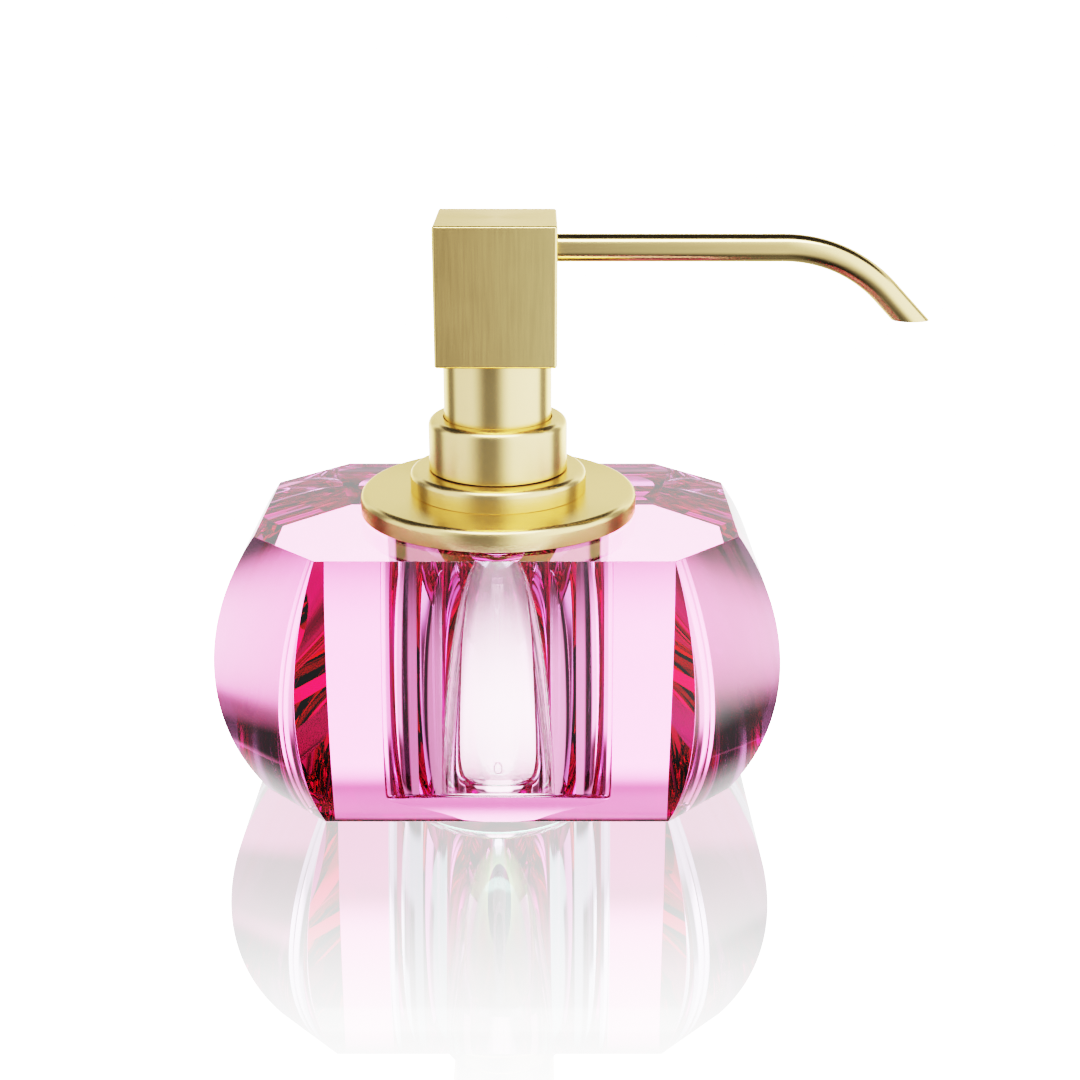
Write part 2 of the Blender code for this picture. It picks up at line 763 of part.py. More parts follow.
def main():
    start_scene()
    glass = material("pink_crystal", (0.96, 0.72, 0.87), 0.0, transmission=1.0)
    brass = material("brushed_brass", (0.78, 0.69, 0.42), 0.3, metallic=1.0)
    steel = material("stainless_steel", (0.62, 0.62, 0.63), 0.2, metallic=1.0)
    white = material("white_plastic", (0.86, 0.86, 0.85), 0.4)
    black = material("black_plastic", (0.03, 0.03, 0.03), 0.45)
    clear = material("clear_plastic", (0.92, 0.93, 0.94), 0.15, transmission=0.8)
    rubber = material("seal_rubber", (0.06, 0.06, 0.06), 0.7)

    make_glass(glass)
    make_gasket(
        "flange_gasket",
        FLANGE_GASKET_INNER,
        FLANGE_GASKET_OUTER,
        FLANGE_BOTTOM,
        FLANGE_BOTTOM + FLANGE_GASKET_THICKNESS,
        clear,
    )
    make_flange(brass)
    make_ring(brass)

    seat = make_gasket(
        "closure_gasket",
        CLOSURE_GASKET_INNER,
        CLOSURE_GASKET_OUTER,
        LEDGE_TOP + GAP,
        CORE_BOTTOM - GAP,
        rubber,
    )
    housing = make_housing(white)
    cartridge = [
        housing,
        make_gasket("retaining_ring", CLAMP_INNER, SEAT_RIM_RADIUS, CLAMP_BOTTOM, CLAMP_TOP, steel),
        make_stem_guide(white),
        make_spring_seat(white),
        make_spring(steel),
        make_tube("dip_tube", DIP_BORE, DIP_RADIUS, DIP_BOTTOM, SOCKET_TOP - GAP, clear),
    ]
    collar = [make_collar_shell(brass), make_collar_core(black)]
    inlet = ball("inlet_ball", VALVE_BALL, CONE_TOP + 0.15 * MM, steel)
    piston = make_piston(white)
    head = [
        make_head(brass),
        make_insert(white),
        make_tube(
            "sleeve",
            SLEEVE_RADIUS - SLEEVE_WALL,
            SLEEVE_RADIUS,
            SLEEVE_BOTTOM,
            SLEEVE_SEAT - GAP,
            brass,
            FINE,
        ),
        make_tube("stem", STEM_BORE, STEM_RADIUS, PISTON_BOTTOM + 1.8 * MM, STEM_TOP, white),
        make_stem_seal(rubber),
        make_spout(brass),
        make_liner(clear),
        make_spout_seal(rubber),
    ]
    outlet = ball("outlet_ball", VALVE_BALL, STEM_TOP + MM, steel)

    lift = axis_empty("lift_axis", [seat], LEDGE_TOP)
    rise = axis_empty("rise_axis", cartridge, CORE_LEDGE)
    turn = axis_empty("collar_axis", collar, COLLAR_BOTTOM)
    press = axis_empty("press_axis", [piston], PISTON_BOTTOM)
    swivel = axis_empty("swivel_axis", head, HEAD_BOTTOM)
    chain = ((rise, lift), (turn, rise), (press, rise), (inlet, rise), (swivel, press), (outlet, swivel))
    for child, parent in chain:
        place = child.matrix_world.copy()
        child.parent = parent
        child.matrix_parent_inverse = parent.matrix_world.inverted()
        child.matrix_world = place
        bpy.context.view_layer.update()


main()
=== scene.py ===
"""Looks of the faceted pump dispenser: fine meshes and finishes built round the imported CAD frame.

Units are metres in the CAD's frame: +Z up along the pump's axis, +X towards the spout's tip,
-Y to the front.
"""

import math

import bmesh
import bpy
from mathutils import Matrix, Vector


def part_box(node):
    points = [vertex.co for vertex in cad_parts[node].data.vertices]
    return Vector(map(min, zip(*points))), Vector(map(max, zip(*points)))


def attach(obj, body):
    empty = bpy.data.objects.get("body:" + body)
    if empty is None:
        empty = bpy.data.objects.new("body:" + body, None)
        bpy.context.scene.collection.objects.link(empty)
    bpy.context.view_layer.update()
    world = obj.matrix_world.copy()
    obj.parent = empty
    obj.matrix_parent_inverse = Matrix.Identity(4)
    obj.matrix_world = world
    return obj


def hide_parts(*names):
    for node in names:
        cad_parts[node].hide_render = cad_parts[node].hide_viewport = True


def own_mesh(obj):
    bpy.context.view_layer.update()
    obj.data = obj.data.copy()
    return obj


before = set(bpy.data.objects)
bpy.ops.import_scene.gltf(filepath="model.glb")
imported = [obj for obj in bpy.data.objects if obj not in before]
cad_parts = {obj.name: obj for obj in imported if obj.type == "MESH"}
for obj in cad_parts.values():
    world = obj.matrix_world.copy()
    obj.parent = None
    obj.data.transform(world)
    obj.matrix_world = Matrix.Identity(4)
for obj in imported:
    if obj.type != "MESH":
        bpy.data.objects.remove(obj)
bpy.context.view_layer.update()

MM = 0.001
SEGMENTS = 160
ARC_STEPS = 6


# ---------------------------------------------------------------- mesh tools


def rounded(outline, closed=True):
    """Replaces the corners of a (radius, height, rounding) outline by tangent arcs."""
    points = []
    count = len(outline)
    for i, (r, z, rounding) in enumerate(outline):
        corner = Vector((r, z))
        if rounding <= 0 or not closed and i in (0, count - 1):
            points.append((r, z))
            continue
        before = (Vector(outline[i - 1][:2]) - corner).normalized()
        after = (Vector(outline[(i + 1) % count][:2]) - corner).normalized()
        half = before.angle(after) / 2
        centre = corner + (before + after).normalized() * rounding / math.sin(half)
        start = (corner + before * rounding / math.tan(half) - centre).normalized()
        end = (corner + after * rounding / math.tan(half) - centre).normalized()
        for step in range(ARC_STEPS + 1):
            point = centre + start.slerp(end, step / ARC_STEPS) * rounding
            points.append((point.x, point.y))
    return points


def even_normals(obj):
    """Keeps large faces flat beside small rounded edges."""
    weighted = obj.modifiers.new("even_normals", "WEIGHTED_NORMAL")
    weighted.keep_sharp = True
    weighted.weight = 100


def new_object(name, build, finish):
    """Turns a bmesh into a smooth-shaded object whose large faces stay flat."""
    mesh = bpy.data.meshes.new(name)
    build.to_mesh(mesh)
    build.free()
    mesh.materials.append(finish)
    mesh.shade_smooth()
    obj = bpy.data.objects.new(name, mesh)
    bpy.context.scene.collection.objects.link(obj)
    even_normals(obj)
    return obj


def join_rings(build, rings, closed):
    """Faces between rings of vertices; a ring of one vertex is a point on the axis."""
    pairs = list(zip(rings, rings[1:]))
    if closed:
        pairs.append((rings[-1], rings[0]))
    for upper, lower in pairs:
        count = max(len(upper), len(lower))
        for i in range(count):
            j = (i + 1) % count
            loop = (
                upper[i % len(upper)],
                lower[i % len(lower)],
                lower[j % len(lower)],
                upper[j % len(upper)],
            )
            corners = list(dict.fromkeys(loop))
            if len(corners) > 2:
                build.faces.new(corners)


def circle(build, radius, height, segments=SEGMENTS):
    """A ring of vertices about the axis, or one vertex on it."""
    if radius < 1e-7:
        return [build.verts.new((0.0, 0.0, height))]
    ring = []
    for i in range(segments):
        angle = 2 * math.pi * i / segments
        ring.append(build.verts.new((radius * math.cos(angle), radius * math.sin(angle), height)))
    return ring


def lathe(name, outline, finish, shape=None):
    """Turns a closed outline, listed down the outer side first; shape may move each vertex."""
    build = bmesh.new()
    rings = [circle(build, r, z) for r, z in rounded(outline)]
    join_rings(build, rings, closed=True)
    if shape:
        for vertex in build.verts:
            vertex.co = shape(vertex.co)
    return new_object(name, build, finish)


def place(piece, body, slot, *nodes):
    """Rides a piece on its body in place of CAD nodes."""
    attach(piece, body)
    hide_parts(*nodes)


# ---------------------------------------------------------------- finishes


def socket_or_value(tree, socket, value):
    """Links a node's output to a socket, or sets the socket's value."""
    if isinstance(value, bpy.types.NodeSocket):
        tree.links.new(value, socket)
    else:
        socket.default_value = value


def maths(tree, operation, *values):
    """One Math node; values are sockets or numbers."""
    node = tree.nodes.new("ShaderNodeMath")
    node.operation = operation
    for socket, value in zip(node.inputs, values):
        socket_or_value(tree, socket, value)
    return node.outputs[0]


def smooth_step(tree, value, low, high, start=0.0, end=1.0):
    """A value eased from start to end as it goes from low to high."""
    node = tree.nodes.new("ShaderNodeMapRange")
    node.interpolation_type = "SMOOTHSTEP"
    names = ("Value", "From Min", "From Max", "To Min", "To Max")
    for name, number in zip(names, (value, low, high, start, end)):
        socket_or_value(tree, node.inputs[name], number)
    return node.outputs[0]


def length(tree, first, second):
    """The length of a flat vector."""
    squares = [maths(tree, "MULTIPLY", part, part) for part in (first, second)]
    return maths(tree, "SQRT", maths(tree, "ADD", *squares))


def window(tree, value, low, high, soft):
    """1 between low and high, eased to 0 over twice the softness at both ends."""
    up = smooth_step(tree, value, low - soft, low + soft)
    down = smooth_step(tree, value, high - soft, high + soft, 1.0, 0.0)
    return maths(tree, "MULTIPLY", up, down)


def vector(tree, *parts):
    """A vector from three sockets or numbers."""
    node = tree.nodes.new("ShaderNodeCombineXYZ")
    for socket, value in zip(node.inputs, parts):
        socket_or_value(tree, socket, value)
    return node.outputs[0]


def split(tree, output):
    """The three parts of a vector."""
    node = tree.nodes.new("ShaderNodeSeparateXYZ")
    tree.links.new(output, node.inputs[0])
    return node.outputs[0], node.outputs[1], node.outputs[2]


def noise(tree, coordinates, scale, detail=2.0, fourth=None):
    """Noise round 0.5 at a vector, with an optional fourth coordinate."""
    node = tree.nodes.new("ShaderNodeTexNoise")
    node.noise_dimensions = "3D" if fourth is None else "4D"
    tree.links.new(coordinates, node.inputs["Vector"])
    node.inputs["Scale"].default_value = scale
    node.inputs["Detail"].default_value = detail
    if fourth is not None:
        tree.links.new(fourth, node.inputs["W"])
    return node.outputs["Fac"]


def mix_colours(tree, share, first, second):
    """A colour between two, which are sockets or colours."""
    node = tree.nodes.new("ShaderNodeMix")
    node.data_type = "RGBA"
    socket_or_value(tree, node.inputs[0], share)
    for socket, value in ((node.inputs[6], first), (node.inputs[7], second)):
        if isinstance(value, bpy.types.NodeSocket):
            tree.links.new(value, socket)
        else:
            socket.default_value = (*value, 1.0)
    return node.outputs[2]


def bump(tree, height, distance):
    """A normal from a height between 0 and 1 times a distance."""
    node = tree.nodes.new("ShaderNodeBump")
    node.inputs["Distance"].default_value = distance
    tree.links.new(height, node.inputs["Height"])
    return node.outputs["Normal"]


def new_finish(name, **inputs):
    """A material, its node tree, its Principled shader and the object coordinates."""
    made = bpy.data.materials.new(name)
    made.use_nodes = True
    tree = made.node_tree
    shader = tree.nodes["Principled BSDF"]
    for key, value in inputs.items():
        shader.inputs[key.replace("_", " ")].default_value = value
    coordinates = tree.nodes.new("ShaderNodeTexCoord").outputs["Object"]
    return made, tree, shader, coordinates


BRASS = (0.84, 0.645, 0.315)
BRASS_WORN = (0.89, 0.695, 0.36)
BRASS_EDGE = (0.96, 0.86, 0.63)
# Painted light and shade on the head: its base colour runs from a painted shade at -X to a painted light
# at +X, standing in for light falling from the +X side. The width sets how far the painted shading
# spreads.
HEAD_PAINTED_SHADE = (0.78, 0.57, 0.25)
HEAD_PAINTED_LIGHT = (1.0, 0.79, 0.40)
HEAD_PAINTED_SHADE_WIDTH = 1.6
HEAD_STREAKS = 0.35
BRUSH_GRAIN = 3200.0
BRUSH_STRETCH = 0.03
TURNING_STROKE = 0.004


def brush_streaks(tree, coordinates, along):
    """Noise drawn out round the axis ("round"), upright ("up") or along X ("spout")."""
    x, y, z = split(tree, coordinates)
    if along == "round":
        radius = length(tree, x, y)
        cosine = maths(tree, "MULTIPLY", maths(tree, "DIVIDE", x, radius), TURNING_STROKE)
        sine = maths(tree, "MULTIPLY", maths(tree, "DIVIDE", y, radius), TURNING_STROKE)
        fourth = maths(tree, "MULTIPLY", sine, BRUSH_GRAIN)
        return noise(tree, vector(tree, radius, z, cosine), BRUSH_GRAIN, 3.0, fourth)
    if along == "up":
        z = maths(tree, "MULTIPLY", z, BRUSH_STRETCH)
    else:
        x = maths(tree, "MULTIPLY", x, BRUSH_STRETCH)
    return noise(tree, vector(tree, x, y, z), BRUSH_GRAIN, 3.0)


def brushed_brass(name, along, roughness, depth=1.2e-6, anisotropic=0.6, painted_side_light=False):
    """Fine brushed brass; for the head, the colour also carries painted shade towards -X and painted
    light towards +X.
    """
    made, tree, shader, coordinates = new_finish(name, Metallic=1.0)
    streaks = brush_streaks(tree, coordinates, along)
    clouds = noise(tree, coordinates, 90.0, 2.0)
    tone = maths(tree, "MULTIPLY_ADD", streaks, 0.7, maths(tree, "MULTIPLY", clouds, 0.3))
    # Painted shade and painted light: the head's colour is darker towards -X and lighter towards +X, with
    # the brushing grain mixed over it.
    if painted_side_light:
        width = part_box("head_shell")[1].x * HEAD_PAINTED_SHADE_WIDTH
        share = smooth_step(tree, split(tree, coordinates)[0], -width, width)
        shade = mix_colours(tree, share, HEAD_PAINTED_SHADE, HEAD_PAINTED_LIGHT)
        shade = mix_colours(tree, maths(tree, "MULTIPLY", tone, HEAD_STREAKS), shade, BRASS_WORN)
    else:
        shade = mix_colours(tree, tone, BRASS, BRASS_WORN)
    tree.links.new(shade, shader.inputs["Base Color"])
    shader.inputs["Specular Tint"].default_value = (*BRASS_EDGE, 1.0)
    rough = smooth_step(tree, tone, 0.3, 0.7, roughness * 0.85, roughness * 1.15)
    tree.links.new(rough, shader.inputs["Roughness"])
    tree.links.new(bump(tree, streaks, depth), shader.inputs["Normal"])
    shader.inputs["Anisotropic"].default_value = anisotropic
    tangent = tree.nodes.new("ShaderNodeTangent")
    tangent.direction_type = "RADIAL"
    tangent.axis = "Z"
    tree.links.new(tangent.outputs[0], shader.inputs["Tangent"])
    shader.inputs["Anisotropic Rotation"].default_value = 0.25 if along == "round" else 0.0
    return made


# Pink crystal: absorption per metre for red, green and blue.
CRYSTAL_ABSORPTION = (1.5, 21.5, 10.5)
CRYSTAL_INDEX = 2.0
POLISH_RIPPLE = 4e-7


def crystal():
    """Solid pink glass: clear surface with a faint polishing ripple, colour from its depth."""
    made, tree, shader, coordinates = new_finish("pink_crystal", Roughness=0.0, IOR=CRYSTAL_INDEX)
    shader.inputs["Base Color"].default_value = (1.0, 1.0, 1.0, 1.0)
    shader.inputs["Transmission Weight"].default_value = 1.0
    ripple = noise(tree, coordinates, 35.0, 1.0)
    tree.links.new(bump(tree, ripple, POLISH_RIPPLE), shader.inputs["Normal"])
    density = max(CRYSTAL_ABSORPTION) * 1.25
    depth = tree.nodes.new("ShaderNodeVolumeAbsorption")
    depth.inputs["Color"].default_value = (*(1 - value / density for value in CRYSTAL_ABSORPTION), 1.0)
    depth.inputs["Density"].default_value = density
    tree.links.new(depth.outputs[0], tree.nodes["Material Output"].inputs["Volume"])
    return made


def plastic(name, colour, roughness, mottle=0.04, transmission=0.0):
    """Moulded plastic or rubber: faint mottle, fine moulding texture."""
    made, tree, shader, coordinates = new_finish(name)
    pale = tuple(min(1.0, c * (1 + mottle) + mottle * 0.1) for c in colour)
    clouds = noise(tree, coordinates, 400.0, 3.0)
    tree.links.new(mix_colours(tree, clouds, colour, pale), shader.inputs["Base Color"])
    rough = smooth_step(tree, clouds, 0.3, 0.7, roughness * 0.9, roughness * 1.1)
    tree.links.new(rough, shader.inputs["Roughness"])
    tree.links.new(bump(tree, noise(tree, coordinates, 6000.0, 2.0), 2e-6), shader.inputs["Normal"])
    shader.inputs["Transmission Weight"].default_value = transmission
    return made


def clear_plastic():
    """Thin clear tube that hardly shows through the crystal."""
    made, tree, shader, coordinates = new_finish("clear_plastic_tube", IOR=1.02)
    shader.inputs["Base Color"].default_value = (1.0, 1.0, 1.0, 1.0)
    shader.inputs["Transmission Weight"].default_value = 1.0
    haze = noise(tree, coordinates, 500.0, 2.0)
    tree.links.new(smooth_step(tree, haze, 0.3, 0.7, 0.0, 0.02), shader.inputs["Roughness"])
    return made


STEEL_DARK = (0.56, 0.56, 0.57)
STEEL_LIGHT = (0.68, 0.68, 0.69)


def steel():
    """Bright drawn steel wire and polished balls."""
    made, tree, shader, coordinates = new_finish("bright_steel", Metallic=1.0)
    lines = noise(tree, coordinates, 2500.0, 3.0)
    shade = mix_colours(tree, lines, STEEL_DARK, STEEL_LIGHT)
    tree.links.new(shade, shader.inputs["Base Color"])
    tree.links.new(smooth_step(tree, lines, 0.3, 0.7, 0.14, 0.24), shader.inputs["Roughness"])
    return made


CRYSTAL = crystal()
TURNED_BRASS = brushed_brass("turned_brass", "round", 0.24, anisotropic=0.8)
# The head's brass carries painted shade on its -X side and painted light on its +X side.
HEAD_BRASS_PAINTED_LIGHT = brushed_brass("head_brass_painted_light", "up", 0.22, depth=6e-7, painted_side_light=True)
SPOUT_BRASS = brushed_brass("spout_brass", "spout", 0.16, depth=3e-7, anisotropic=0.2)
WHITE_PLASTIC = plastic("white_plastic_moulded", (0.80, 0.80, 0.78), 0.38)
BLACK_PLASTIC = plastic("black_plastic_moulded", (0.025, 0.025, 0.027), 0.42)
CLEAR_PLASTIC = clear_plastic()
LINER = plastic("liner_soft_tube", (0.75, 0.77, 0.78), 0.3, 0.03, 0.4)
RUBBER = plastic("seal_rubber_matte", (0.035, 0.035, 0.036), 0.65)
STEEL = steel()


# ---------------------------------------------------------------- bottle


BULGE_RINGS = 96
EDGE_STEPS = 3
EDGE_ROUND = 0.14 * MM
BORE_ROUND = 1.0 * MM
RIM_ROUND = 0.2 * MM
BORE_SEGMENTS = 256


def glass_shape():
    """The CAD bottle's octagon at the top, widest half-depth, bore radius and bore floor."""
    low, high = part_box("glass_body")
    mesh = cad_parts["glass_body"].data
    top = [v.co for v in mesh.vertices if high.z - v.co.z < 1e-5]
    corner_front = max((v for v in top if v.y > 0), key=lambda v: (round(v.y, 5), v.x))
    corner_side = max((v for v in top if v.x > 0), key=lambda v: (round(v.x, 5), v.y))
    bore = min(v.xy.length for v in top)
    inside = [v.co.z for v in mesh.vertices if v.co.xy.length < bore * 1.001 and v.co.z > low.z + MM]
    return corner_front, corner_side, high.y - corner_front.y, bore, min(inside), high.z


def make_glass():
    """Rings of a rounded octagon that bulges as one circular arc, and a round bore inside."""
    front, side, bulge, bore, floor, height = glass_shape()
    half = height / 2
    arc_radius = (half * half + bulge * bulge) / (2 * bulge)
    normal = Vector((front.y - side.y, side.x - front.x)).normalized()
    reach = normal.dot(front.xy)

    def out_at(z):
        return math.sqrt(arc_radius**2 - (z - half) ** 2) - (arc_radius - bulge)

    def corners(out):
        """The octagon's eight corners with every side moved out, anticlockwise from the +X side."""
        front_y = front.y + out
        side_x = side.x + out
        a = Vector((side_x, (reach + out - normal.x * side_x) / normal.y))
        b = Vector(((reach + out - normal.y * front_y) / normal.x, front_y))
        quarter = [a, b]
        half_turn = quarter + [Vector((-p.x, p.y)) for p in reversed(quarter)]
        return half_turn + [-p for p in half_turn]

    def octagon(build, out, z):
        """One ring: each corner is a small arc of a few points."""
        points = corners(out)
        ring = []
        for i, corner in enumerate(points):
            before = (points[i - 1] - corner).normalized()
            after = (points[(i + 1) % len(points)] - corner).normalized()
            angle = before.angle(after) / 2
            centre = corner + (before + after).normalized() * EDGE_ROUND / math.sin(angle)
            start = (corner + before * EDGE_ROUND / math.tan(angle) - centre).normalized()
            end = (corner + after * EDGE_ROUND / math.tan(angle) - centre).normalized()
            for step in range(EDGE_STEPS + 1):
                point = centre + start.slerp(end, step / EDGE_STEPS) * EDGE_ROUND
                ring.append(build.verts.new((point.x, point.y, z)))
        return ring

    outline = [(-MM, height, 0.0)]
    for i in range(BULGE_RINGS + 1):
        z = height * (1 - i / BULGE_RINGS)
        outline.append((out_at(z), z, EDGE_ROUND if i in (0, BULGE_RINGS) else 0.0))
    outline.append((-MM, 0.0, 0.0))
    build = bmesh.new()
    rings = [octagon(build, out, z) for out, z in rounded(outline, closed=False)[1:-1]]
    join_rings(build, rings, closed=False)
    build.faces.new(list(reversed(rings[-1])))
    hollow = [
        (bore + MM, height, 0.0),
        (bore, height, RIM_ROUND),
        (bore, floor, BORE_ROUND),
        (0.0, floor, 0.0),
    ]
    wall = [circle(build, r, z, BORE_SEGMENTS) for r, z in rounded(hollow, closed=False)[1:]]
    join_rings(build, wall, closed=False)
    rim_edges = []
    for ring in (rings[0], wall[0]):
        for i, vertex in enumerate(ring):
            nearby = ring[i - 1]
            edge = build.edges.get((nearby, vertex))
            rim_edges.append(edge)
    bmesh.ops.triangle_fill(build, use_beauty=True, use_dissolve=False, edges=rim_edges, normal=(0, 0, 1))
    bmesh.ops.recalc_face_normals(build, faces=build.faces)
    piece = new_object("bottle_glass", build, CRYSTAL)
    place(piece, "bottle", "crystal", "glass_body")


# ---------------------------------------------------------------- turned brass


FLANGE_EDGE = 1.6 * MM
RING_EDGE = 1.5 * MM
COLLAR_EDGE = 1.8 * MM
FINE_EDGE = 0.12 * MM
THREAD_PITCH = 2.0 * MM
THREAD_DEPTH = 0.45 * MM
THREAD_LOW = 62.2 * MM
THREAD_HIGH = 67.6 * MM
THREAD_ROWS = 48
GAP = 0.3 * MM
SEAM = 0.02 * MM
UNDER_EDGE = 0.25 * MM
INNER_EDGE = 0.1 * MM
RECESS_INNER = 26.2 * MM
RECESS_OUTER = 29.0 * MM
RECESS_TOP = 60.6 * MM
COUNTERBORE = 15.9 * MM
LEDGE_HOLE = 9.0 * MM
FEMALE_ROOT = 14.0 * MM
COLLAR_WALL = 0.8 * MM
COLLAR_DROP = 0.2 * MM
SLEEVE_WALL = 1.2 * MM
SLEEVE_GAP = 0.15 * MM


def make_flange():
    """The wide disc: rounded rim, gasket recess below, ledge and counterbore in the middle."""
    low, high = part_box("neck_flange")
    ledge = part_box("closure_gasket")[0].z - GAP
    outline = [
        (high.x, high.z, FLANGE_EDGE),
        (high.x, low.z, UNDER_EDGE),
        (RECESS_OUTER, low.z, 0.0),
        (RECESS_OUTER, RECESS_TOP, 0.0),
        (RECESS_INNER, RECESS_TOP, 0.0),
        (RECESS_INNER, low.z, 0.0),
        (LEDGE_HOLE, low.z, 0.0),
        (LEDGE_HOLE, ledge, 0.0),
        (COUNTERBORE, ledge, 0.0),
        (COUNTERBORE, high.z, INNER_EDGE),
    ]
    place(lathe("flange", outline, TURNED_BRASS), "bottle", "brass", "neck_flange")


def threaded(co):
    """Moves a point of the ring's inner wall onto a helical ridge."""
    radius = math.hypot(co.x, co.y)
    if abs(radius - FEMALE_ROOT) > 1e-6 or not THREAD_LOW < co.z < THREAD_HIGH:
        return co
    turn = (co.z / THREAD_PITCH - math.atan2(co.y, co.x) / (2 * math.pi)) % 1.0
    ridge = 1.0 - abs(2.0 * turn - 1.0)
    fade = min(1.0, (co.z - THREAD_LOW) / THREAD_PITCH, (THREAD_HIGH - co.z) / THREAD_PITCH)
    scale = (radius - THREAD_DEPTH * ridge * fade) / radius
    return Vector((co.x * scale, co.y * scale, co.z))


def make_ring():
    """The stepped ring, spigoted into the flange, with the female thread in its bore."""
    low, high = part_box("neck_ring")
    spigot = COUNTERBORE - GAP
    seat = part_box("neck_flange")[1].z + SEAM
    outline = [
        (high.x, high.z, RING_EDGE),
        (high.x, seat, INNER_EDGE),
        (spigot, seat, 0.0),
        (spigot, low.z, 0.0),
        (FEMALE_ROOT, low.z, 0.0),
    ]
    for i in range(THREAD_ROWS + 1):
        outline.append((FEMALE_ROOT, THREAD_LOW + (THREAD_HIGH - THREAD_LOW) * i / THREAD_ROWS, 0.0))
    outline += [(FEMALE_ROOT, high.z - GAP, 0.0), (FEMALE_ROOT + GAP, high.z, 0.0)]
    ring = lathe("threaded_ring", outline, TURNED_BRASS, shape=threaded)
    place(ring, "bottle", "brass", "neck_ring")


def make_collar():
    """The cap over the screw closure, with a rounded shoulder round the sleeve."""
    low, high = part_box("collar_shell")
    bottom = low.z - COLLAR_DROP
    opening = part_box("sleeve")[1].x + SLEEVE_GAP
    inner = high.x - COLLAR_WALL
    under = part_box("collar_core")[1].z + GAP
    outline = [
        (high.x, high.z, COLLAR_EDGE),
        (high.x, bottom, FINE_EDGE),
        (inner, bottom, 0.0),
        (inner, under, 0.0),
        (opening, under, 0.0),
        (opening, high.z, FINE_EDGE),
    ]
    place(lathe("collar_cap", outline, TURNED_BRASS), "collar", "brass", "collar_shell")


def make_sleeve():
    """The tube under the head that slides into the collar."""
    low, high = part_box("sleeve")
    inner = high.x - SLEEVE_WALL
    outline = [
        (high.x, high.z, 0.0),
        (high.x, low.z, FINE_EDGE),
        (inner, low.z, FINE_EDGE),
        (inner, high.z, 0.0),
    ]
    place(lathe("sliding_sleeve", outline, TURNED_BRASS), "head", "brass", "sleeve")


# ---------------------------------------------------------------- head and spout


HEAD_CHAMFER = 0.6 * MM
CHAMFER_STEPS = 5
SPOUT_HOLE_GAP = 0.12 * MM
CUTTER_SEGMENTS = 96
SHARP_ANGLE = math.radians(50)
TUBE_SEGMENTS = 64


def cutter(name, radius, start, end, segments=CUTTER_SEGMENTS):
    """A hidden round cutter between two points."""
    start, end = Vector(start), Vector(end)
    depth = (end - start).length
    build = bmesh.new()
    bmesh.ops.create_cone(
        build,
        cap_ends=True,
        segments=segments,
        radius1=radius,
        radius2=radius,
        depth=depth,
    )
    turn = (end - start).to_track_quat("Z", "Y").to_matrix().to_4x4()
    build.transform(Matrix.Translation((start + end) / 2) @ turn)
    mesh = bpy.data.meshes.new(name)
    build.to_mesh(mesh)
    build.free()
    obj = bpy.data.objects.new(name, mesh)
    bpy.context.scene.collection.objects.link(obj)
    return obj


def make_head():
    """The square block, bored from below for the sleeve and the core, and from +X for the spout."""
    low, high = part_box("head_shell")
    spout_low, spout_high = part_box("spout_tube")
    spout_radius = (spout_high.y - spout_low.y) / 2
    spout_z = spout_high.z - spout_radius
    build = bmesh.new()
    bmesh.ops.create_cube(build, size=1)
    build.transform(Matrix.Translation((low + high) / 2) @ Matrix.Diagonal((*(high - low), 1)))
    bmesh.ops.bevel(
        build,
        geom=list(build.edges),
        offset=HEAD_CHAMFER,
        segments=CHAMFER_STEPS,
        profile=0.5,
        affect="EDGES",
        clamp_overlap=True,
    )
    head = new_object("press_head", build, HEAD_BRASS_PAINTED_LIGHT)
    head.modifiers.clear()
    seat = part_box("sleeve")[1]
    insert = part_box("head_insert")[1]
    below = (0, 0, low.z - MM)
    hole = spout_radius + SPOUT_HOLE_GAP
    hole_start = (insert.x - MM, 0, spout_z)
    hole_end = (high.x + MM, 0, spout_z)
    cutters = [
        cutter("cut_seat", seat.x + GAP, below, (0, 0, seat.z + GAP)),
        cutter("cut_recess", insert.x + GAP, below, (0, 0, insert.z + GAP)),
        cutter("cut_spout", hole, hole_start, hole_end, TUBE_SEGMENTS),
    ]
    for tool in cutters:
        boolean = head.modifiers.new(tool.name, "BOOLEAN")
        boolean.operation = "DIFFERENCE"
        boolean.object = tool
    bpy.context.view_layer.update()
    mesh = bpy.data.meshes.new_from_object(head.evaluated_get(bpy.context.evaluated_depsgraph_get()))
    head.modifiers.clear()
    head.data = mesh
    for tool in cutters:
        bpy.data.objects.remove(tool, do_unlink=True)
    mesh.shade_smooth()
    mesh.set_sharp_from_angle(angle=SHARP_ANGLE)
    even_normals(head)
    place(head, "head", "brass", "head_shell")


BEND_RADIUS = 30.1 * MM
BEND_ANGLE = math.radians(46.3)
BEND_STEPS = 48
SPOUT_WALL = 0.7 * MM
LIP_ROUND = 0.06 * MM


def spout_frames(start):
    """Centre points and angles along the spout: straight, then bent down."""
    low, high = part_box("spout_tube")
    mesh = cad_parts["spout_tube"].data
    radius = (high.y - low.y) / 2
    height = high.z - radius
    bend_start = max(v.co.x for v in mesh.vertices if high.z - v.co.z < 1e-6)
    frames = [(Vector((start, 0, height)), 0.0), (Vector((bend_start, 0, height)), 0.0)]
    for i in range(1, BEND_STEPS + 1):
        angle = BEND_ANGLE * i / BEND_STEPS
        x = bend_start + BEND_RADIUS * math.sin(angle)
        z = height - BEND_RADIUS * (1 - math.cos(angle))
        frames.append((Vector((x, 0, z)), angle))
    return frames


